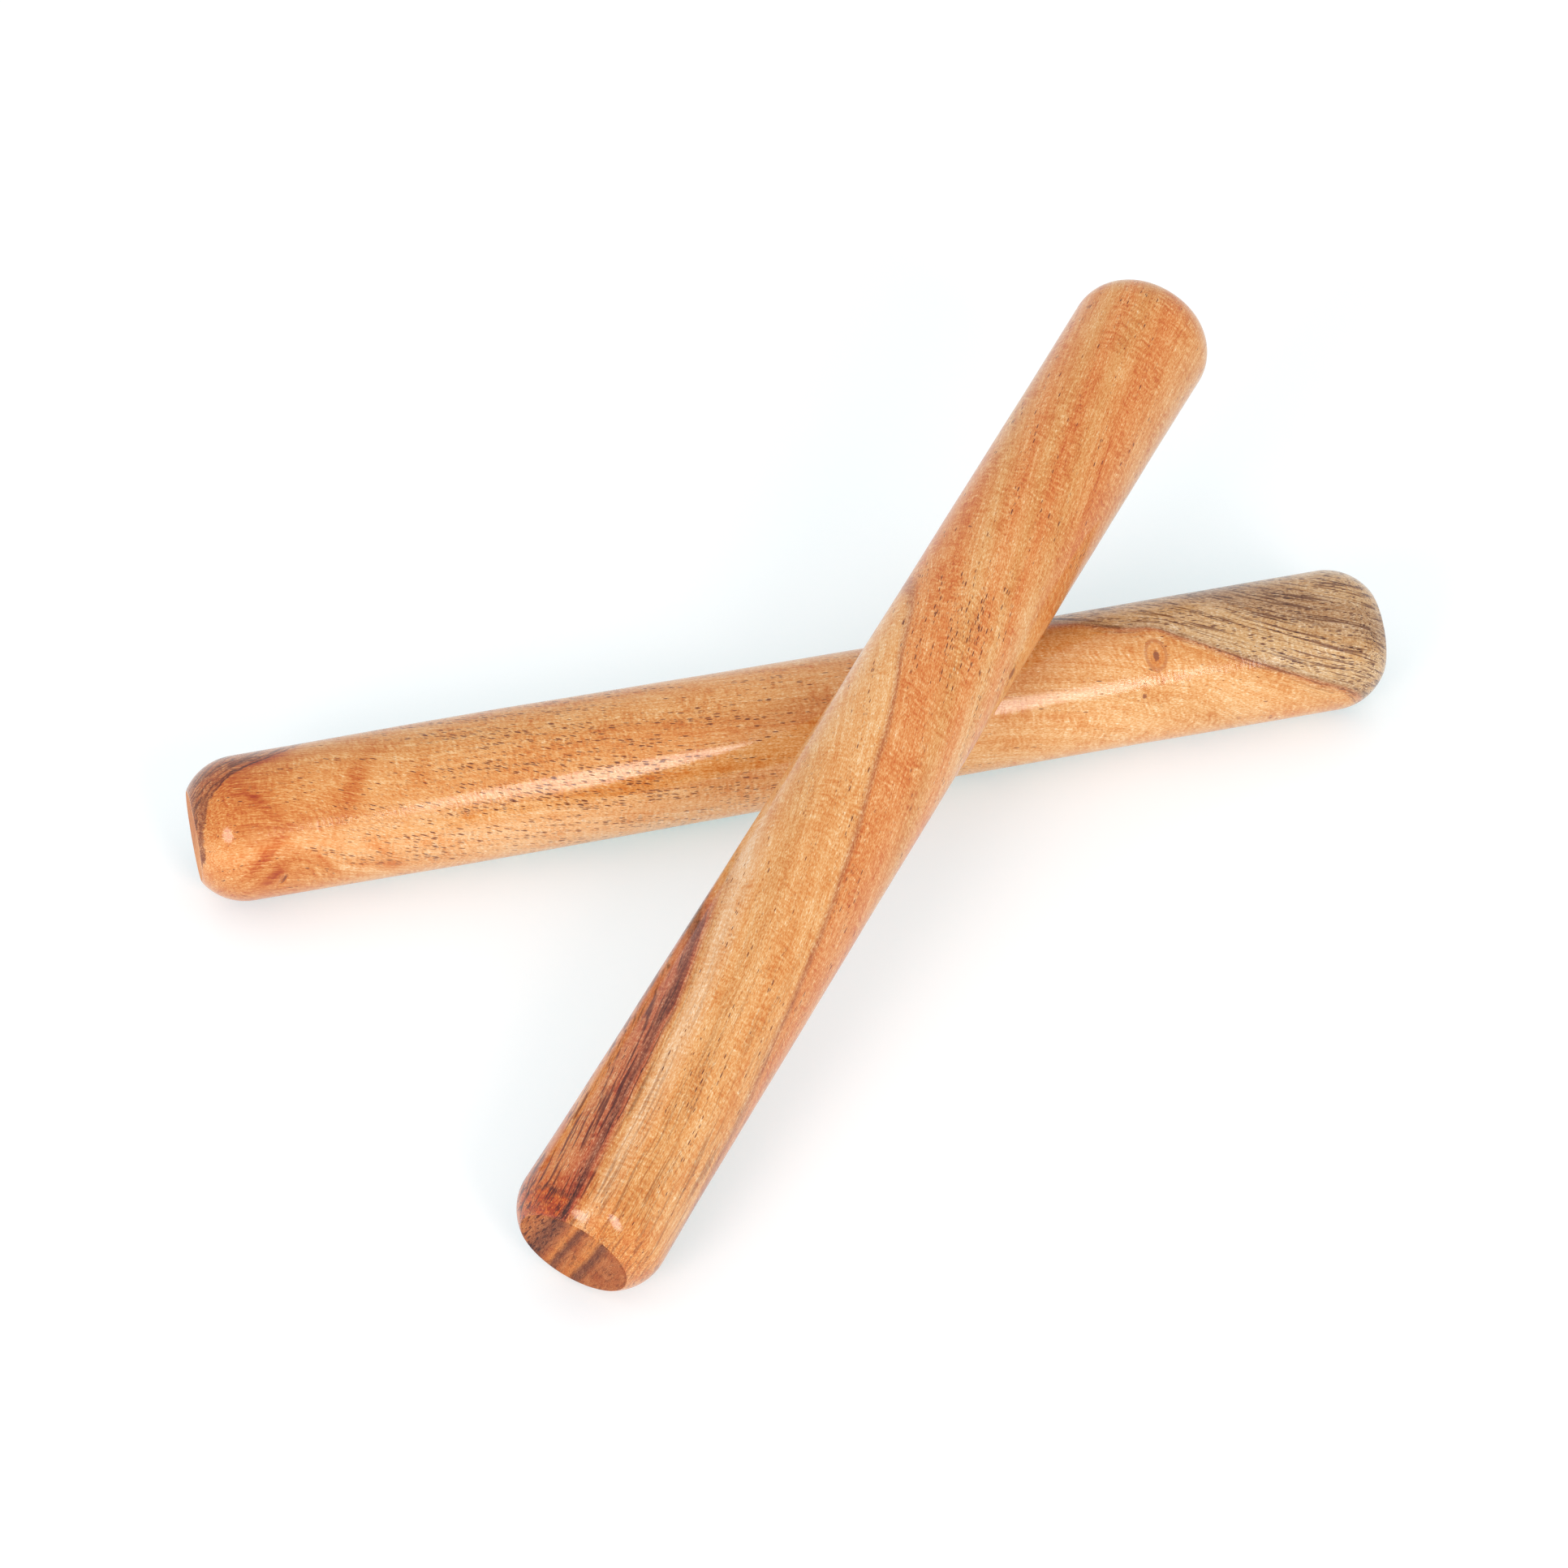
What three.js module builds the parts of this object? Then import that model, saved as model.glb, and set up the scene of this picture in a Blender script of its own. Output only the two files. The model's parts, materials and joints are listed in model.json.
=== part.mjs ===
// A pair of claves: two solid hardwood sticks that are struck together.
// One lies on the ground, and the other stands on one rounded end and leans across it.
// Millimetres, +Z up. The origin is on the ground, at the middle of the pair's outer box.

import * as THREE from 'three';

// ---- Driving dimensions ----

const LENGTH = 203; // each clave, end face to end face (8 in)
const DIAMETER = 24;

// Each end is a flat disc with a rounded shoulder, an arc that runs into the side with no edge.
// depth is how far the shoulder reaches along the clave, and drop is how much radius it takes off.
const RESTING_END = { depth: 8.0, drop: 4.4 };
const STRIKING_END = { depth: 6.4, drop: 3.0 };

const CROSSING_ANGLE = THREE.MathUtils.degToRad(47.5); // between the two claves, seen from above
const CROSSING_ON_RESTING = 26.6; // from the resting clave's middle, towards +X
const CROSSING_ON_STRIKING = 130.3; // from the striking clave's end on the ground
const TOUCHING_GAP = 0.3; // left where the two claves meet

const SIDES = 72; // facets round a clave
const SHOULDER_STEPS = 6; // facets along a shoulder

const RADIUS = DIAMETER / 2;

// ---- One clave ----

// Radius of the shoulder's arc, which meets the side at a tangent.
function shoulderRadius({ depth, drop }) {
  return (depth ** 2 + drop ** 2) / (2 * drop);
}

// A clave along +X, with the middle of its first end face at the origin.
function claveGeometry(end) {
  const arcRadius = shoulderRadius(end);
  const sweep = Math.asin(end.depth / arcRadius);
  const firstEnd = [new THREE.Vector2(0, 0)];
  for (let step = 0; step <= SHOULDER_STEPS; step++) {
    const angle = sweep * (1 - step / SHOULDER_STEPS);
    const radius = RADIUS - arcRadius * (1 - Math.cos(angle));
    firstEnd.push(new THREE.Vector2(radius, end.depth - arcRadius * Math.sin(angle)));
  }
  const secondEnd = firstEnd.map((p) => new THREE.Vector2(p.x, LENGTH - p.y)).reverse();

  // Half a facet of turn puts the middle of a flat facet straight down.
  const geometry = new THREE.LatheGeometry([...firstEnd, ...secondEnd], SIDES, Math.PI / SIDES);
  geometry.rotateZ(-Math.PI / 2);
  return geometry;
}

function clave(name, end, colour) {
  const wood = new THREE.MeshStandardMaterial({ color: colour, roughness: 0.35, metalness: 0 });
  const mesh = new THREE.Mesh(claveGeometry(end), wood);
  mesh.name = name;
  return mesh;
}

// ---- How the striking clave leans ----

// Unit vector square to both claves, from the resting one's axis up to the striking one's.
function crossingNormal(tilt) {
  const along = new THREE.Vector3(1, 0, 0);
  return along.cross(leanDirection(tilt)).normalize();
}

// The striking clave's direction, from its end on the ground to its raised end.
function leanDirection(tilt) {
  const level = Math.cos(tilt);
  return new THREE.Vector3(
    level * Math.cos(CROSSING_ANGLE),
    level * Math.sin(CROSSING_ANGLE),
    Math.sin(tilt),
  );
}

// Height of the striking clave's axis at the crossing, with its shoulder touching the ground.
function heightAtCrossing(tilt) {
  const arcRadius = shoulderRadius(STRIKING_END);
  const alongFromArc = CROSSING_ON_STRIKING - STRIKING_END.depth;
  return arcRadius + (RADIUS - arcRadius) * Math.cos(tilt) + alongFromArc * Math.sin(tilt);
}

// The tilt at which the leaning clave touches both the ground and the resting clave.
function leanTilt() {
  let low = 0;
  let high = Math.PI / 4;
  while (high - low > 1e-9) {
    const tilt = (low + high) / 2;
    const needed = RADIUS + (DIAMETER + TOUCHING_GAP) * crossingNormal(tilt).z;
    if (heightAtCrossing(tilt) < needed) low = tilt;
    else high = tilt;
  }
  return low;
}

// ---- The pair ----

const restingClave = clave('resting_clave', RESTING_END, 0xdba672);
restingClave.position.set(-LENGTH / 2, 0, RADIUS);

const strikingClave = clave('striking_clave', STRIKING_END, 0xd8985f);
const tilt = leanTilt();
strikingClave.rotation.set(0, -tilt, CROSSING_ANGLE, 'ZYX');
strikingClave.position
  .set(CROSSING_ON_RESTING, 0, RADIUS)
  .addScaledVector(crossingNormal(tilt), DIAMETER + TOUCHING_GAP)
  .addScaledVector(leanDirection(tilt), -CROSSING_ON_STRIKING);

const claves = new THREE.Group();
claves.add(restingClave, strikingClave);

// Bring the bottom middle of the outer box to the origin.
const box = new THREE.Box3().setFromObject(claves, true);
const middle = box.getCenter(new THREE.Vector3());
claves.position.set(-middle.x, -middle.y, -box.min.z);

export default claves;
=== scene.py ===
"""Looks for a pair of claves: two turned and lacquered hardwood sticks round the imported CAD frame.

Blender works in metres. The sticks are shaped and painted in millimetres, in a frame of their own:
"along" runs from a stick's first end face to its second, "side" is level, and "up" is square to both.
An angle round a stick is in degrees, 0 at its top and growing towards "side".
"""
import json
import math

import bpy
import numpy as np
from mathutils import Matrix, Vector


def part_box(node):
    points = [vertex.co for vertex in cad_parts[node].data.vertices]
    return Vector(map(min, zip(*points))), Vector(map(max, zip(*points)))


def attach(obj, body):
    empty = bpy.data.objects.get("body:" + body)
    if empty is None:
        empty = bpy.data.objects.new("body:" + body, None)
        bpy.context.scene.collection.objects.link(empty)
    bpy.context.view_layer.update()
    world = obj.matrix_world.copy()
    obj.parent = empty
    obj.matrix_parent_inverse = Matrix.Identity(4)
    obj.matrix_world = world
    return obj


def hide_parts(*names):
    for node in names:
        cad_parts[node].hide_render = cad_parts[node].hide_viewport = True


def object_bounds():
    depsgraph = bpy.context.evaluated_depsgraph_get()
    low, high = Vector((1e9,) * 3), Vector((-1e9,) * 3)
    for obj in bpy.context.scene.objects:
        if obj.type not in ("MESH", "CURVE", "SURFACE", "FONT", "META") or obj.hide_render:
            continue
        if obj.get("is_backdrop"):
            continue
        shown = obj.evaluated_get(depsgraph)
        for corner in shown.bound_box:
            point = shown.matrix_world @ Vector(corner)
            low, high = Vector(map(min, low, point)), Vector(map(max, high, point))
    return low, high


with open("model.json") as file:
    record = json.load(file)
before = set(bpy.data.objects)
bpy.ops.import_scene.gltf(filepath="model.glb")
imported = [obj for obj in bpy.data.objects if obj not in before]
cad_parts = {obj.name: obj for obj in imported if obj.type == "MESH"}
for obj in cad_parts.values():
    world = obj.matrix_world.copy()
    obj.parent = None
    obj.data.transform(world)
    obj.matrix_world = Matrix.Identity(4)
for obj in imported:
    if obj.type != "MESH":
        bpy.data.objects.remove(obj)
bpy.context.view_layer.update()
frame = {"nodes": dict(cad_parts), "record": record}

MM = 0.001


# ---------------------------------------------------------------- where the sticks are

class Stick:
    """Where one clave lies, from its CAD node and the two mounts on its end faces."""

    def __init__(self, node, first_end, second_end):
        places = {m["name"]: Vector(m["pos_m"]) for m in frame["record"]["mounts"]}
        self.start, end = places[first_end], places[second_end]
        self.length = (end - self.start).length / MM
        self.along = (end - self.start).normalized()
        self.side = Vector((-self.along.y, self.along.x, 0)).normalized()
        self.up = self.along.cross(self.side)
        corners = [v.co - self.start for v in frame["nodes"][node].data.vertices]
        self.radius = max((c - self.along * c.dot(self.along)).length for c in corners) / MM

    def to_frame(self, along, side, up):
        """Points in the row frame, in metres, from a stick's own coordinates in millimetres."""
        axes = np.array([self.along, self.side, self.up])
        return np.array(self.start) + np.stack([along, side, up], 1) @ axes * MM


# ---------------------------------------------------------------- the turned shape

CREASE = 0.35            # how softly a flat end meets its rounded shoulder, mm
FINE, COARSE = 0.3, 0.5  # steps of the mesh along a stick, mm
AROUND = 192             # points of the mesh round a stick
OUTLINE_STEP = 0.05      # between the points of an end's outline, mm
SHOULDER_POINTS = 160    # of that outline on the rounded shoulder
SIDE_PART = 4            # how much of the side that outline takes in, mm
WAVINESS = 0.02          # how uneven hand sanding leaves the side, mm
WAVE_LENGTH = 11         # of that unevenness, mm
EDGE_ROUNDING = 29       # over which the corners of a stain's edge are rounded, degrees
FAR_OFF = 9.0            # how far away marks and stains are put where they mustn't show


def end_outline(radius, depth, drop):
    """(along, out) points from the middle of an end face to the first part of the side.

    depth is how far along the stick the rounded shoulder reaches, and drop is how far in it comes.
    """
    arc = (depth ** 2 + drop ** 2) / (2 * drop)
    sweep = math.asin(depth / arc)
    face = [(0.0, out) for out in np.arange(0, radius - drop, OUTLINE_STEP)]
    turn = np.linspace(sweep, 0, SHOULDER_POINTS)
    shoulder = [(depth - arc * math.sin(a), radius - arc * (1 - math.cos(a))) for a in turn]
    side = [(depth + step, radius) for step in np.arange(OUTLINE_STEP, SIDE_PART, OUTLINE_STEP)]
    return np.array(face + shoulder + side)


def softened(points):
    """The outline with its crease rounded, by a short weighted average along it."""
    gap = np.hypot(*np.diff(points, axis=0).T)
    where = np.concatenate([[0], np.cumsum(gap)])
    even = np.arange(0, where[-1], OUTLINE_STEP)
    mirrored = np.concatenate([-even[:0:-1], even])
    out = np.interp(np.abs(mirrored), where, points[:, 1]) * np.sign(mirrored)
    along = np.interp(np.abs(mirrored), where, points[:, 0])
    reach = np.arange(-3 * CREASE, 3 * CREASE + 0.01, OUTLINE_STEP)
    weight = np.exp(-(reach / CREASE) ** 2)
    weight /= weight.sum()
    smooth = np.stack([np.convolve(v, weight, "same") for v in (along, out)], 1)
    keep = slice(len(even) - 1, len(mirrored) - len(reach))
    return smooth[keep]


def rings(stick, depth, drop, fine):
    """(along, out) of each ring of the mesh, closer together on the ends than on the side.

    fine lists the (from, to) stretches of the side where they are as close as on the ends.
    """
    outline = softened(end_outline(stick.radius, depth, drop))
    gap = np.hypot(*np.diff(outline, axis=0).T)
    where = np.concatenate([[0], np.cumsum(gap)])
    stops = np.arange(FINE, where[-1], FINE)
    cap = np.stack([np.interp(stops, where, outline[:, i]) for i in (0, 1)], 1)
    last = cap[-1, 0]
    places = [last + FINE]
    while places[-1] < stick.length - last - COARSE:
        in_fine = any(low < places[-1] < high for low, high in fine)
        places.append(places[-1] + (FINE if in_fine else COARSE))
    middle = np.array([(s, stick.radius) for s in places])
    far = cap[::-1] * (-1, 1) + (stick.length, 0)
    return np.concatenate([cap, middle, far])


def waves(points, size, seed):
    """Smooth random values, mostly from -1 to 1, at the points. The waves are about as long as size."""
    rng = np.random.default_rng(seed)
    total = np.zeros(len(points))
    for _ in range(10):
        direction = rng.normal(size=3)
        direction /= np.linalg.norm(direction) * size * rng.uniform(0.7, 1.6)
        total += np.sin(points @ direction * 2 * math.pi + rng.uniform(0, 2 * math.pi))
    return total / 4


def bell(x, middle, reach):
    """1 at the middle, about 0.4 at the reach, and next to nothing at twice the reach."""
    return np.exp(-((x - middle) / reach) ** 2)


class Surface:
    """The fine mesh of a stick, with every point's place on it.

    depth, drop and fine are as in rings. The stick is thicker by change, in mm, at each swell
    (place, reach, change), and seed draws its unevenness.
    """

    def __init__(self, stick, depth, drop, swells, seed, fine=()):
        self.stick = stick
        ring = rings(stick, depth, drop, fine)
        turn = np.linspace(0, 2 * math.pi, AROUND, endpoint=False)
        along = np.repeat(ring[:, 0], AROUND)
        out = np.repeat(ring[:, 1], AROUND)
        turn = np.tile(turn, len(ring))
        self.along = np.concatenate([[0], along, [stick.length]])
        self.out = np.concatenate([[0], out, [0]])
        self.turn = np.concatenate([[0], turn, [0]])
        self.degrees = (np.degrees(self.turn) + 180) % 360 - 180
        away = np.minimum(self.along, stick.length - self.along)
        shoulder = np.clip(1.2 - away / depth, 0, 1)  # 1 near an end and 0 on the side
        self.disc = self.out < stick.radius - drop
        for at, reach, change in swells:
            self.out *= 1 + change / stick.radius * bell(self.along, at, reach)
        sanded = WAVINESS * waves(np.stack([self.along, *self.section()], 1), WAVE_LENGTH, seed)
        self.out += sanded * (1 - shoulder)
        self.ring_count = len(ring)

    def skin(self, at, degrees):
        """How far each point is from a place on the skin, in mm: along the stick and round it.

        The end faces count as the skin carried on past the shoulder.
        """
        past = np.where(self.along < self.stick.length / 2, -1, 1) * (self.stick.radius - self.out)
        turn = (self.degrees - degrees + 180) % 360 - 180
        return self.along + past - at, np.radians(turn) * self.stick.radius

    def oval(self, at, degrees, long, wide, turned=0):
        """How far out each point is in an oval on the skin: 0 in its middle and 1 on its rim."""
        x, y = self.skin(at, degrees)
        a = math.radians(turned)
        u, v = x * math.cos(a) + y * math.sin(a), y * math.cos(a) - x * math.sin(a)
        return np.hypot(u / long, v / wide)

    def patch(self, at, degrees, long, wide, turned=0):
        """A soft mark, 1 in the middle of an oval and fading to 0 outside it."""
        return np.exp(-self.oval(at, degrees, long, wide, turned) ** 2)

    def nearest(self, ovals):
        """How far out each point is in the oval it is nearest to."""
        away = np.full(len(self.along), FAR_OFF)
        for oval in ovals:
            away = np.minimum(away, self.oval(*oval))
        return away

    def inside(self, edge):
        """How far, in mm, each point is within an edge that runs right round the first end.

        edge is (degrees, along) pairs that say how far along the stick it reaches, and its corners are
        rounded. The depth inside is halved, as most of the edge runs aslant.
        """
        around = np.arange(-180, 180)
        reach = np.interp(around, *zip(*edge), period=360)
        window = np.hanning(EDGE_ROUNDING)
        smooth = np.convolve(np.tile(reach, 3), window / window.sum(), "same")[360:720]
        gap = np.interp(self.degrees, around, smooth, period=360) - self.along
        return np.where(self.disc, -FAR_OFF, gap / 2)

    def section(self):
        """Each point's place in the stick's cross-section, towards side and towards up."""
        return self.out * np.sin(self.turn), self.out * np.cos(self.turn)

    def faces(self):
        last = 1 + self.ring_count * AROUND
        quads = []
        step = np.arange(AROUND)
        after = (step + 1) % AROUND
        for ring in range(self.ring_count - 1):
            low = 1 + ring * AROUND
            high = low + AROUND
            quads.append(np.stack([low + step, low + after, high + after, high + step], 1))
        top = last - AROUND
        first_fan = [(0, int(1 + b), int(1 + a)) for a, b in zip(step, after)]
        last_fan = [(last, int(top + a), int(top + b)) for a, b in zip(step, after)]
        return first_fan + np.concatenate(quads).tolist() + last_fan

    def build(self, name, values):
        """The mesh object, with each of the values as an attribute for the material."""
        side, up = self.section()
        mesh = bpy.data.meshes.new(name)
        points = self.stick.to_frame(self.along, side, up)
        mesh.from_pydata(points.tolist(), [], self.faces())
        mesh.shade_smooth()
        for key, value in values.items():
            vector = value.ndim == 2
            layer = mesh.attributes.new(key, "FLOAT_VECTOR" if vector else "FLOAT", "POINT")
            layer.data.foreach_set("vector" if vector else "value", value.astype(np.float32).ravel())
        mesh.validate()
        on_disc = [all(self.disc[v] for v in polygon.vertices) for polygon in mesh.polygons]
        mesh.polygons.foreach_set("material_index", np.array(on_disc, dtype=np.int32))
        piece = bpy.data.objects.new(name, mesh)
        bpy.context.scene.collection.objects.link(piece)
        return piece


# ---------------------------------------------------------------- how the grain runs

def added_up(surface, rates):
    """What a rate adds up to from the first end to each point. rates are (place, rate) pairs."""
    fine = np.linspace(0, surface.stick.length, 400)
    rate = np.interp(fine, *zip(*rates))
    so_far = np.concatenate([[0], np.cumsum((rate[1:] + rate[:-1]) / 2 * np.diff(fine))])
    return np.interp(surface.along, fine, so_far)


def grain(surface, lean, slopes, bulges=(), knots=()):
    """(along, across, depth) in the wood, in mm. Growth layers are the surfaces of one depth.

    lean is the angle round the stick that the layers face, and slopes says how steeply the depth
    grows along the stick, as (place, slope) pairs. The layers bulge at (place, degrees, reach,
    height) and part round a knot at (place, degrees, half its length, half its width).
    """
    side, up = surface.section()
    tilt = math.radians(lean)
    across = side * math.cos(tilt) - up * math.sin(tilt)
    depth = side * math.sin(tilt) + up * math.cos(tilt) + added_up(surface, slopes)
    for at, degrees, reach, height in bulges:
        depth = depth + height * surface.patch(at, degrees, reach, reach)
    for knot in knots:
        away = surface.oval(*knot) ** 2
        middle = depth[np.argmin(away)]
        depth = middle + (depth - middle) * (1 - 1 / (away + 0.4))
    return np.stack([surface.along, across, depth], 1)


def vessels(surface, slants):
    """Places in mm that turn round the stick as its fibres do, for everything that follows them.

    slants are (place, slant) pairs, and a slant is the turn in mm for each mm along.
    """
    turn = surface.turn - added_up(surface, slants) / surface.stick.radius
    return np.stack([surface.along, surface.out * np.sin(turn), surface.out * np.cos(turn)], 1)


# ---------------------------------------------------------------- shader nodes

class Shader:
    """A material's node tree, with a short call for each kind of node it needs."""

    def __init__(self, name):
        self.material = bpy.data.materials.new(name)
        self.material.use_nodes = True
        self.tree = self.material.node_tree
        self.surface = self.tree.nodes["Principled BSDF"]

    def put(self, socket, value):
        if isinstance(value, bpy.types.NodeSocket):
            self.tree.links.new(value, socket)
        else:
            socket.default_value = value

    def attribute(self, name, output="Fac"):
        node = self.tree.nodes.new("ShaderNodeAttribute")
        node.attribute_name = name
        return node.outputs[output]

    def math(self, operation, a, b=0.0):
        node = self.tree.nodes.new("ShaderNodeMath")
        node.operation = operation
        self.put(node.inputs[0], a)
        self.put(node.inputs[1], b)
        return node.outputs[0]

    def vector(self, operation, a, b):
        node = self.tree.nodes.new("ShaderNodeVectorMath")
        node.operation = operation
        self.put(node.inputs[0], a)
        self.put(node.inputs[1], b)
        return node.outputs[0]

    def noise(self, place, cells, detail=2.0, roughness=0.5, colour=False):
        """Noise whose cells measure so many millimetres along, across and through the grain."""
        node = self.tree.nodes.new("ShaderNodeTexNoise")
        node.inputs["Scale"].default_value = 1.0
        node.inputs["Detail"].default_value = detail
        node.inputs["Roughness"].default_value = roughness
        self.put(node.inputs["Vector"], self.vector("DIVIDE", place, cells))
        return node.outputs["Color" if colour else "Fac"]

    def specks(self, place, cells, crowd):
        """Scattered ovals, each a different size. crowd is the share of cells, 0 to 1, that have one."""
        node = self.tree.nodes.new("ShaderNodeTexVoronoi")
        node.inputs["Scale"].default_value = 1.0
        self.put(node.inputs["Vector"], self.vector("DIVIDE", place, cells))
        chance = self.tree.nodes.new("ShaderNodeSeparateColor")
        self.put(chance.inputs[0], node.outputs["Color"])
        size = self.fade(self.math("SUBTRACT", crowd, chance.outputs[0]), 0.0, 0.3, 0.0, 0.42)
        return self.fade(self.math("SUBTRACT", size, node.outputs["Distance"]), 0.0, 0.1)

    def fade(self, value, low, high, to_low=0.0, to_high=1.0):
        """Runs smoothly from to_low to to_high as the value goes from low to high."""
        node = self.tree.nodes.new("ShaderNodeMapRange")
        node.interpolation_type = "SMOOTHSTEP"
        for name, number in (("From Min", low), ("From Max", high), ("To Min", to_low), ("To Max", to_high)):
            self.put(node.inputs[name], number)
        self.put(node.inputs["Value"], value)
        return node.outputs[0]

    def ramp(self, value, stops):
        """Colours along a value, each at its own place."""
        low, high = stops[0][0], stops[-1][0]
        node = self.tree.nodes.new("ShaderNodeValToRGB")
        elements = node.color_ramp.elements
        elements.remove(elements[-1])
        for place, colour in stops:
            position = (place - low) / (high - low)
            element = elements[0] if place == low else elements.new(position)
            element.position, element.color = position, rgba(colour)
        span = self.math("DIVIDE", self.math("SUBTRACT", value, low), high - low)
        self.put(node.inputs[0], span)
        return node.outputs[0]

    def deepen(self, colour, amount):
        """Darker and richer colour where the amount is over 1, and paler where it is under 1."""
        node = self.tree.nodes.new("ShaderNodeGamma")
        self.put(node.inputs["Color"], colour)
        self.put(node.inputs["Gamma"], amount)
        return node.outputs[0]

    def mix(self, amount, a, b, blend="MIX"):
        node = self.tree.nodes.new("ShaderNodeMix")
        node.data_type, node.blend_type = "RGBA", blend
        self.put(node.inputs["Factor"], amount)
        self.put(node.inputs["A"], a)
        self.put(node.inputs["B"], b)
        return node.outputs["Result"]

    def bump(self, height, distance, strength=1.0):
        node = self.tree.nodes.new("ShaderNodeBump")
        node.inputs["Distance"].default_value = distance
        node.inputs["Strength"].default_value = strength
        self.put(node.inputs["Height"], height)
        return node.outputs[0]


def srgb(colour):
    """Linear red, green and blue from a colour such as 0xd9a066."""
    parts = [(colour >> shift & 255) / 255 for shift in (16, 8, 0)]
    return [p / 12.92 if p <= 0.04045 else ((p + 0.055) / 1.055) ** 2.4 for p in parts]


def rgba(colour):
    return (*srgb(colour), 1.0)


# Wood colours, picked in coarse steps.
PALE_HONEY, HONEY, AMBER = 0xe8b078, 0xd89858, 0xd09050
ORANGE, RUSSET, CREAM = 0xd08040, 0xb06838, 0xe0b080
RED_BROWN, BARK_BROWN, PLUM = 0xb86038, 0x986040, 0x804028
TAN, OLIVE_BROWN, CLAY = 0xc8a070, 0xa88058, 0xc08050
# Stained wood and its lines, on the corner of the resting clave and the shoulder of the striking one.
CORNER_STAIN, CORNER_LINES = 0xc88858, 0x784028
DISC_STAIN, DISC_LINES = 0xb07850, 0x804830
SHOULDER_STAIN, SHOULDER_LINES = 0xd07020, 0xb05820
# These multiply the wood's colour in thin lines, in small pores and in pores.
LINE_SHADE, SMALL_PORE_SHADE, PORE_SHADE = 0x8c6654, 0x96685c, 0x7c4c44


def stained(s, colour, place, along, stain, stain_lines):
    """Stains the wood inside an edge, with fine lines that run along the edge and a thin dark rim."""
    unevenness = s.math("MULTIPLY", s.math("SUBTRACT", s.noise(place, (2, 1, 1), 3), 0.5), 0.9)
    ragged = s.math("ADD", s.attribute("stain"), unevenness)
    beside = s.tree.nodes.new("ShaderNodeCombineXYZ")
    s.put(beside.inputs[0], s.math("MULTIPLY", along, 0.15))
    s.put(beside.inputs[1], ragged)
    lines_along = s.fade(s.noise(beside.outputs[0], (1, 0.8, 1), 4, 0.65), 0.42, 0.6)
    lined_stain = s.mix(lines_along, rgba(stain), rgba(stain_lines))
    colour = s.mix(s.fade(ragged, -0.2, 0.4, 0.0, 0.85), colour, lined_stain)
    rim = s.fade(s.math("ABSOLUTE", s.math("SUBTRACT", ragged, 0.15)), 0.32, 0.05, 0.0, 0.6)
    return s.mix(rim, colour, rgba(PLUM))


def textures(s, place, fibres, wander, wandering):
    """The noises of the wood by name. Shimmer runs across the grain, and is plainer in some clouds."""
    clouds = s.noise(place, (9, 5, 5), 2, 0.5)
    waving = s.vector("ADD", place, s.vector("MULTIPLY", wander, (5, 0, 0)))
    ripple = s.math("SUBTRACT", s.noise(waving, (0.55, 2.0, 2.0), 2, 0.5), 0.5)
    return {
        "bands": s.noise(wandering, (60, 10, 0.9), 4, 0.6),
        "lines": s.noise(wandering, (30, 4, 0.3), 3, 0.6),
        "fibre": s.noise(fibres, (3.0, 0.22, 0.22), 3, 0.65),
        "clouds": clouds,
        "grit": s.noise(fibres, (0.5, 0.17, 0.17), 2, 0.6),
        "shimmer": s.math("MULTIPLY", ripple, s.fade(clouds, 0.38, 0.62, 0.3, 1.6)),
    }


def depth_of_colour(s, texture, plain):
    """How much deeper than plain the colour is at each place, for Shader.deepen."""
    figure = s.math("MULTIPLY", s.attribute("figure"), s.fade(texture["fibre"], 0.3, 0.7, 0.4, 1.6))
    deep = s.math("ADD", figure, s.math("MULTIPLY", texture["shimmer"], 0.8))
    deep = s.math("ADD", deep, s.fade(s.attribute("knot"), 1.0, 0.7, 0.0, 0.12))
    for name, amount in (("bands", 0.32), ("lines", 0.34), ("fibre", 0.42), ("clouds", 0.3), ("grit", 0.9)):
        swing = s.math("SUBTRACT", texture[name], 0.5)
        deep = s.math("ADD", deep, s.math("MULTIPLY", swing, 2 * amount))
    return s.math("ADD", deep, plain)


def marked(s, colour, wandering, grit):
    """Adds the thin dark lines in the layers, the rim of a knot, and dark spots."""
    thin = s.fade(s.noise(wandering, (14, 2.5, 0.36), 3, 0.55), 0.5, 0.64)
    colour = s.mix(s.math("MULTIPLY", thin, s.attribute("lined")), colour, rgba(LINE_SHADE), "MULTIPLY")
    from_rim = s.math("ABSOLUTE", s.math("SUBTRACT", s.attribute("knot"), 1.0))
    colour = s.mix(s.fade(from_rim, 0.24, 0.05, 0.0, 0.6), colour, rgba(RUSSET))
    spot = s.math("ADD", s.attribute("spot"), s.math("MULTIPLY", s.math("SUBTRACT", grit, 0.5), 1.2))
    return s.mix(s.fade(spot, 1.15, 0.75, 0.0, 0.85), colour, rgba(PLUM))


def pores(s, fibres, wandering):
    """Large and small pores. They are cut vessels: dashes along the grain, and dots on the end discs."""
    in_rows = s.fade(s.noise(wandering, (20, 6, 0.8), 2, 0.5), 0.4, 0.65, -0.3, 0.3)
    crowd = s.math("ADD", s.attribute("pores"), in_rows)
    large = s.specks(fibres, (1.5, 0.27, 0.27), crowd)
    small = s.specks(fibres, (0.8, 0.18, 0.18), s.math("ADD", crowd, 0.15))
    return large, small


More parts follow.
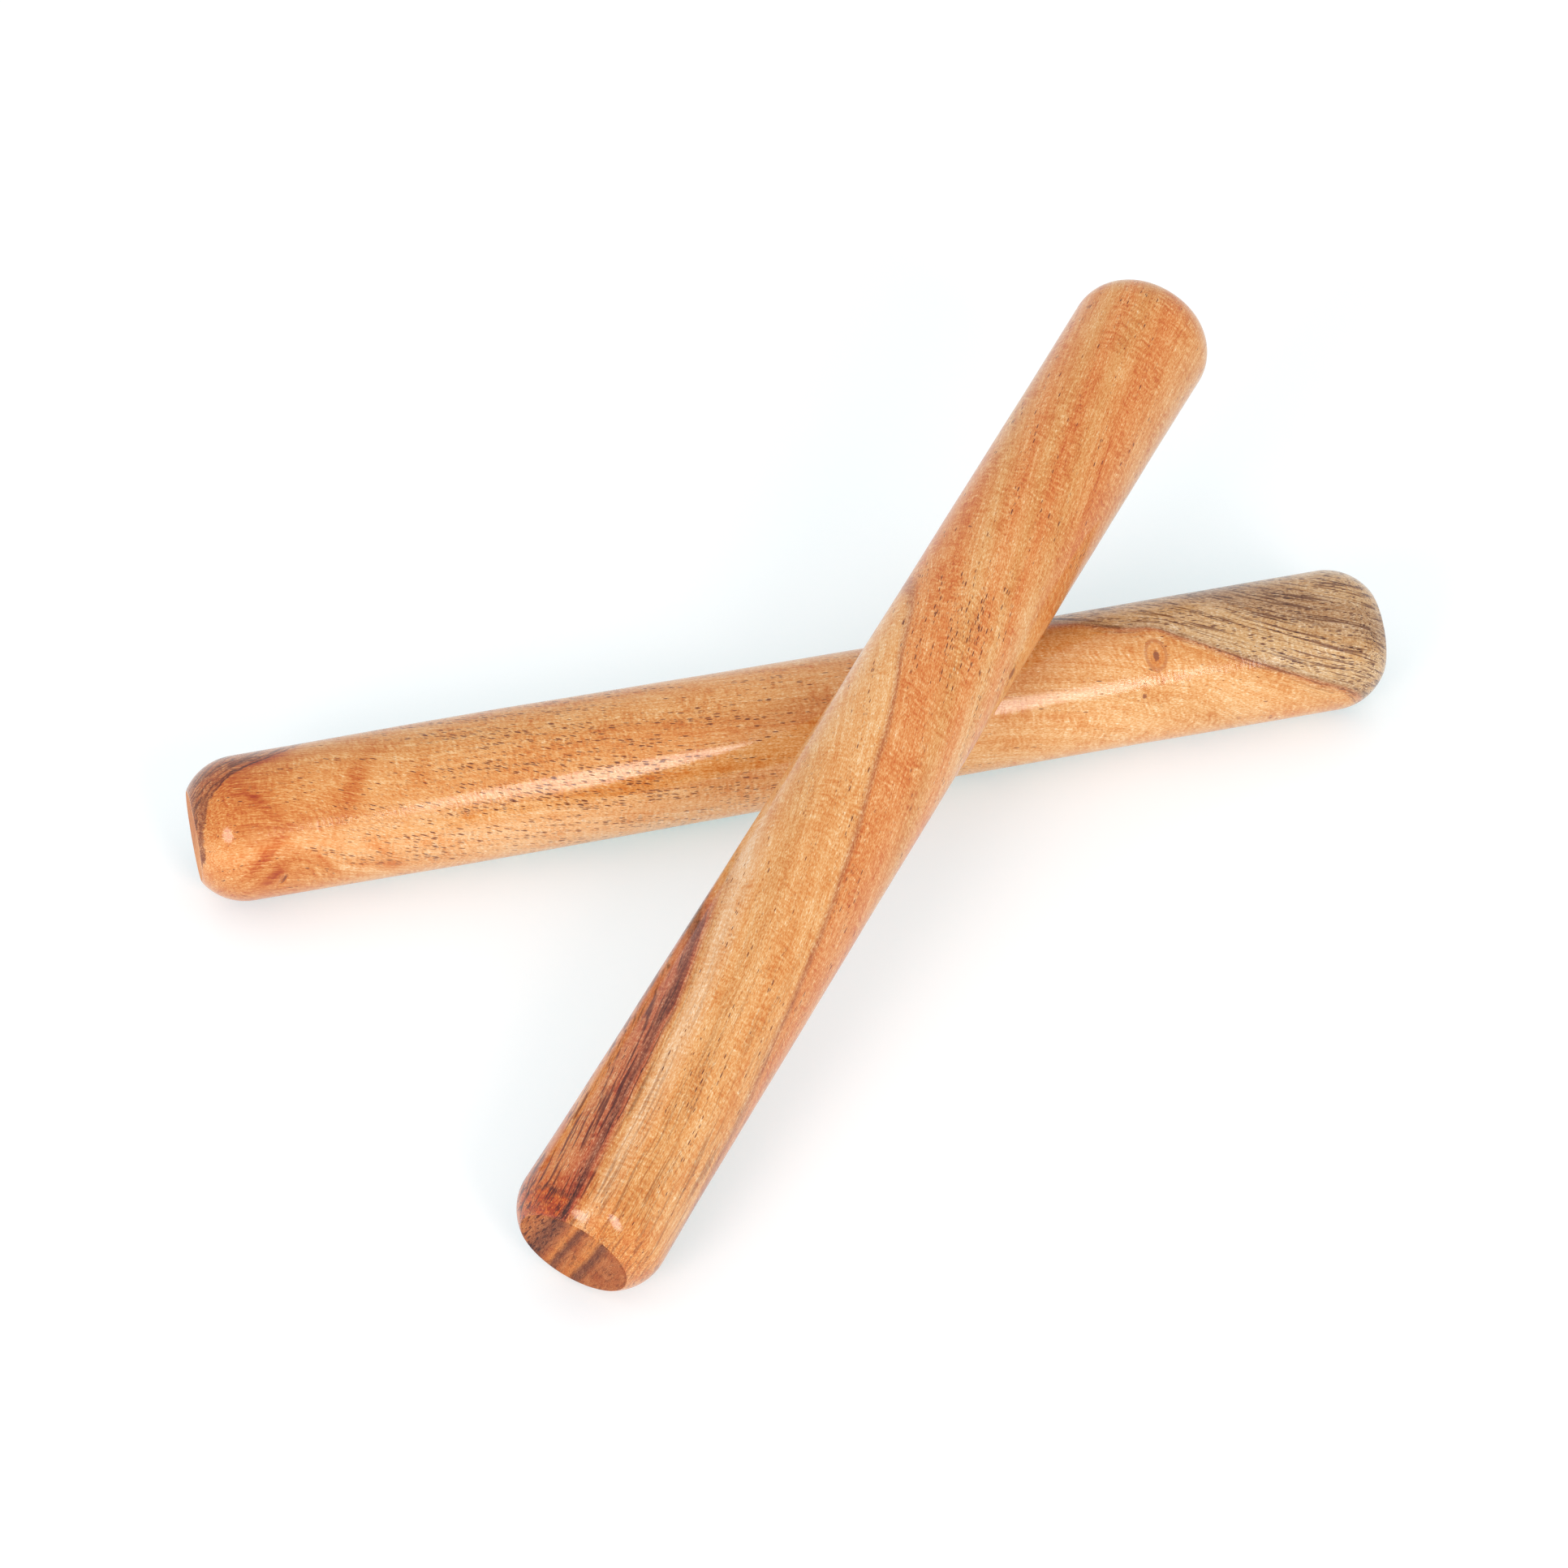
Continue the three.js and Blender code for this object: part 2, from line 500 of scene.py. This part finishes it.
def lacquer(s, texture, large, small, end_grain):
    """Gloss and relief: a clear coat that follows the fibre, the pores and the rest of the texture."""
    height = s.math("MULTIPLY", texture["fibre"], 0.35)
    relief = ((large, -0.6), (small, -0.2), (texture["shimmer"], 0.5), (texture["lines"], 0.25),
              (texture["grit"], 0.12))
    for part, amount in relief:
        height = s.math("ADD", height, s.math("MULTIPLY", part, amount))
    normal = s.bump(height, 0.03 * MM, 0.8)
    roughness = s.math("ADD", s.math("MULTIPLY", texture["fibre"], 0.15), s.math("MULTIPLY", large, 0.2))
    s.put(s.surface.inputs["Roughness"], s.math("ADD", roughness, 0.5 if end_grain else 0.3))
    s.put(s.surface.inputs["Normal"], normal)
    s.put(s.surface.inputs["Coat Normal"], normal)
    s.surface.inputs["Coat Weight"].default_value = 0.1 if end_grain else 0.55
    s.surface.inputs["Coat Roughness"].default_value = 0.3 if end_grain else 0.06
    s.surface.inputs["Coat IOR"].default_value = 1.6
    s.surface.inputs["Specular IOR Level"].default_value = 0.12


def hardwood(name, layers, stain, stain_lines, end_grain=False):
    """Lacquered hardwood, drawn in the mesh's "grain" coordinates, which are in millimetres.

    The layers lie at their depths in the stick, on its side and on its end discs. Fibre, pores and grit
    use the "vessels" coordinates, which turn with the fibres. The other attributes are "figure", which
    deepens the colour over 0 and pales it under 0, "pores", which crowds the pores, "lined", how plain
    the thin dark lines are, "stain", the distance in from the edge of stained wood, and "spot" and
    "knot", which are 1 on the rim of a dark spot or a knot.
    """
    s = Shader(name)
    place = s.attribute("grain", "Vector")
    fibres = s.attribute("vessels", "Vector")

    # The layers wander a little, and less on the discs.
    wander = s.vector("SUBTRACT", s.noise(place, (22, 8, 6), 3, 0.5, colour=True), (0.5, 0.5, 0.5))
    reach = (0, 0.8, 0.8) if end_grain else (0, 2.0, 1.8)
    wandering = s.vector("ADD", place, s.vector("MULTIPLY", wander, reach))
    split = s.tree.nodes.new("ShaderNodeSeparateXYZ")
    s.put(split.inputs[0], wandering)

    colour = s.ramp(split.outputs["Z"], layers)
    colour = stained(s, colour, place, split.outputs["X"], stain, stain_lines)
    texture = textures(s, place, fibres, wander, wandering)
    colour = s.deepen(colour, depth_of_colour(s, texture, 1.15 if end_grain else 1.0))
    colour = marked(s, colour, wandering, texture["grit"])
    large, small = pores(s, fibres, wandering)
    colour = s.mix(s.math("MULTIPLY", small, 0.45), colour, rgba(SMALL_PORE_SHADE), "MULTIPLY")
    colour = s.mix(s.math("MULTIPLY", large, 0.95), colour, rgba(PORE_SHADE), "MULTIPLY")
    s.put(s.surface.inputs["Base Color"], colour)
    lacquer(s, texture, large, small, end_grain)
    return s.material


def dress(surface, name, materials, body, node, slot, **values):
    """Makes a stick's mesh in place of its CAD node, with one material on its side and one on its discs."""
    none = np.zeros(len(surface.along))
    blank = {"figure": none, "pores": none, "lined": none, "stain": none - FAR_OFF,
             "spot": none + FAR_OFF, "knot": none + FAR_OFF}
    piece = surface.build(name, {**blank, **values})
    for material in materials:
        piece.data.materials.append(material)
    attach(piece, body)
    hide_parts(node)


# ---------------------------------------------------------------- the resting clave

RESTING_LAYERS = [
    (-20, HONEY), (-10, HONEY), (-5, PALE_HONEY), (0, HONEY), (8, HONEY), (12, AMBER), (18, HONEY),
    (22.5, AMBER), (23.5, RUSSET), (24.1, OLIVE_BROWN), (25.2, TAN), (31, TAN), (34, OLIVE_BROWN),
    (38, OLIVE_BROWN), (41, TAN),
]


def resting_clave():
    stick = Stick("resting_clave", "resting_left_end", "resting_right_end")
    surface = Surface(stick, depth=8.0, drop=4.4, swells=[(50, 28, 0.22), (150, 30, -0.1)], seed=3,
                      fine=[(0, 24)])
    surface.out -= 0.4 * surface.patch(12.7, -97, 1.4, 0.35, turned=62)
    slopes = [(0, 0.05), (30, 0.1), (105, 0.08), (148, 0.15), (170, 0.55), (203, 0.36)]
    bulges = [(14, -85, 6, -4.5), (12, -30, 8, 3.0), (36, -20, 9, 1.2), (160, 10, 9, 1.0)]
    knot = (162, -33, 1.7, 2.6)
    place = grain(surface, 50, slopes, bulges, knots=[knot])
    stain_edge = [(-150, -3), (-110, -1), (-80, 0.5), (-45, 1), (-15, 2.4), (-5, 5), (10, 10), (20, 16),
                  (40, 21), (80, 19), (120, 11), (160, 3), (190, -2)]
    figure = (
        0.4 * bell(surface.along, 4, 17)
        - 0.15 * surface.patch(160, -85, 28, 12)
        # orange strokes and arcs near the first end
        + 0.9 * surface.patch(12.5, 13, 5.5, 0.9, turned=20)
        + 0.4 * surface.patch(7, -12, 5, 3, turned=-45)
        + 0.8 * surface.patch(10.5, -27, 4, 0.8, turned=-52)
        + 1.0 * surface.patch(10.5, -70, 4.5, 0.9, turned=42)
        + 1.0 * surface.patch(11, -92, 3, 1.0, turned=50)
        + 0.7 * surface.patch(20, -86, 2.6, 0.4, turned=-56)
        + 0.65 * surface.patch(27, -22, 6, 1.7, turned=59)
        + 0.25 * surface.patch(37.5, -25, 3.5, 1.2, turned=75)
        + 0.55 * surface.patch(30.5, -98, 4, 1.8, turned=-60)
        # long streaks in the middle, and darker wood beside the knot
        + 0.3 * surface.patch(78, -63, 18, 0.9)
        + 0.2 * surface.patch(85, -32, 25, 2.4, turned=-3)
        + 0.3 * surface.patch(162, -46, 1.1, 2.6)
    )
    sapwood = 1 / (1 + np.exp(-(place[:, 2] - 24) / 0.4))
    side = hardwood("resting_clave_side", RESTING_LAYERS, CORNER_STAIN, CORNER_LINES)
    ends = hardwood("resting_clave_end", RESTING_LAYERS, DISC_STAIN, DISC_LINES, end_grain=True)
    dress(surface, "resting_clave_wood", [side, ends], "resting", "resting_clave", "resting_wood",
          grain=place,
          vessels=vessels(surface, [(0, 0.1), (22, -0.45), (55, -0.4), (85, -0.1), (203, -0.2)]),
          figure=figure,
          pores=0.6 * bell(surface.along, 60, 38) + 0.6 * sapwood,
          lined=0.9 / (1 + np.exp(-(place[:, 2] - 22.8) / 0.6)),
          stain=surface.inside(stain_edge),
          spot=surface.nearest([(162, -34, 0.55, 1.0, 0), (159, -65, 0.4, 0.5, 0),
                                (12.7, -97, 1.3, 0.3, 62)]),
          knot=surface.nearest([knot]))


# ---------------------------------------------------------------- the striking clave

STRIKING_LAYERS = [
    (-46, AMBER), (-38, ORANGE), (-33, AMBER), (-30, ORANGE), (-28, AMBER), (-25, ORANGE), (-22, AMBER),
    (-19, ORANGE), (-13.6, ORANGE), (-13, RUSSET), (-12, HONEY), (-6, HONEY), (-3, AMBER), (-1, HONEY),
    (2, CREAM), (3.3, AMBER), (4.4, RED_BROWN), (5.0, PLUM), (5.2, PLUM), (6.2, RED_BROWN), (10, ORANGE),
    (14, RED_BROWN),
]
# The end discs have plain bands of their own.
STRIKING_END_LAYERS = [
    (-46, CLAY), (-4, CLAY), (-3.2, BARK_BROWN), (-2.6, BARK_BROWN), (-1.8, HONEY), (0.4, CLAY),
    (1, BARK_BROWN), (1.4, BARK_BROWN), (2.2, HONEY), (3.2, CLAY), (4.4, BARK_BROWN), (5.4, BARK_BROWN),
    (7, CLAY), (14, AMBER),
]


def striking_clave():
    stick = Stick("striking_clave", "striking_ground_end", "striking_raised_end")
    surface = Surface(stick, depth=6.4, drop=3.0, swells=[(101, 50, -0.2), (0, 14, 0.3), (203, 14, 0.2)],
                      seed=8)
    slopes = [(0, -0.05), (40, -0.13), (90, -0.25), (130, -0.32), (165, -0.16), (203, -0.06)]
    place = grain(surface, 64, slopes, bulges=[(150, -30, 16, 0.8)])
    depth = place[:, 2]
    shoulder_edge = [(-100, -3), (-30, 1.5), (-2, 2.8), (14, 3.8), (25, 4), (42, 3.2), (60, 1.5), (90, -2)]
    figure = (
        0.35 * bell(surface.along, 0, 7)
        + 0.15 * surface.patch(165, -25, 26, 2.0, turned=18)
        + 0.15 * surface.patch(160, -55, 24, 1.5, turned=14)
        + 0.12 * surface.patch(113, -30, 12, 5, turned=15)
        - 0.1 * bell(surface.along, 112, 32)
    )
    side = hardwood("striking_clave_side", STRIKING_LAYERS, SHOULDER_STAIN, SHOULDER_LINES)
    ends = hardwood("striking_clave_end", STRIKING_END_LAYERS, SHOULDER_STAIN, SHOULDER_LINES,
                    end_grain=True)
    dress(surface, "striking_clave_wood", [side, ends], "striking", "striking_clave", "striking_wood",
          grain=place,
          vessels=vessels(surface, [(0, 0.05), (60, 0.15), (110, 0.25), (203, 0.08)]),
          figure=figure,
          pores=0.55 * surface.patch(124, -25, 9, 9) + 0.08,
          lined=0.7 / (1 + np.exp(-(depth - 4.0) / 0.5)) + 0.5 * bell(surface.along, 8, 40),
          stain=np.minimum(surface.inside(shoulder_edge), depth - 5.2),
          spot=surface.nearest([(125, -88, 1.2, 0.7, 0), (86, -40, 0.3, 0.3, 0),
                                (142, 18, 0.3, 0.4, 0)]))


# ---------------------------------------------------------------- stage, light and camera

def floor():
    mesh = bpy.data.meshes.new("floor")
    half = 3.0  # m
    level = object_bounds()[0].z
    mesh.from_pydata([(-half, -half, level), (half, -half, level), (half, half, level), (-half, half, level)],
                     [], [(0, 1, 2, 3)])
    piece = bpy.data.objects.new("floor", mesh)
    bpy.context.scene.collection.objects.link(piece)
    s = Shader("pale_floor")
    # A warm floor that glows bluish: white in the open, and it cancels the wood's bounce in the shadows.
    s.surface.inputs["Base Color"].default_value = (0.88, 0.66, 0.60, 1)
    s.surface.inputs["Emission Color"].default_value = (0.25, 0.84, 1, 1)
    s.surface.inputs["Emission Strength"].default_value = 0.45
    s.surface.inputs["Roughness"].default_value = 0.7
    s.surface.inputs["Specular IOR Level"].default_value = 0.2
    mesh.materials.append(s.material)
    piece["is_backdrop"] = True


def toward(azimuth, elevation):
    """Unit vector to a place round the claves. Azimuth 0 is in front and 90 to the right."""
    a, e = math.radians(azimuth), math.radians(elevation)
    return Vector((math.sin(a) * math.cos(e), -math.cos(a) * math.cos(e), math.sin(e)))


def softbox(name, azimuth, elevation, distance, width, height, watts):
    light = bpy.data.lights.new(name, "AREA")
    light.shape = "ELLIPSE"
    light.size, light.size_y = width, height
    light.energy = watts
    lamp = bpy.data.objects.new(name, light)
    back = toward(azimuth, elevation)
    lamp.location = back * distance
    lamp.rotation_mode = "QUATERNION"
    lamp.rotation_quaternion = back.to_track_quat("Z", "Y")
    bpy.context.scene.collection.objects.link(lamp)


def studio():
    world = bpy.data.worlds.new("studio")
    bpy.context.scene.world = world
    world.use_nodes = True
    background = world.node_tree.nodes["Background"]
    background.inputs["Color"].default_value = (1, 1, 1, 1)
    background.inputs["Strength"].default_value = 0.9
    softbox("front", azimuth=11.3, elevation=29.5, distance=1.4, width=0.36, height=0.66, watts=4.9)
    softbox("left", azimuth=-46, elevation=28, distance=1.4, width=0.5, height=0.5, watts=4.5)
    bpy.context.scene.view_settings.view_transform = "Standard"


VIEW_AZIMUTH, VIEW_ELEVATION = -13.99, 44.63
VIEW_DISTANCE = 824                 # mm
AIM_LEFT, AIM_BEHIND = 1.9, 0.3     # of the middle of the resting clave, mm


def camera():
    """A long lens, a little to the left and half-way up."""
    low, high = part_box("resting_clave")
    middle = (low + high) / 2
    aim = Vector((middle.x - AIM_LEFT * MM, middle.y + AIM_BEHIND * MM, low.z))
    back = toward(VIEW_AZIMUTH, VIEW_ELEVATION)
    data = bpy.data.cameras.new("camera")
    data.lens = 112
    data.sensor_width = 36
    view = bpy.data.objects.new("camera", data)
    view.location = aim + back * VIEW_DISTANCE * MM
    view.rotation_mode = "QUATERNION"
    view.rotation_quaternion = back.to_track_quat("Z", "Y")
    bpy.context.scene.collection.objects.link(view)
    bpy.context.scene.camera = view


camera()
resting_clave()
striking_clave()
floor()
studio()
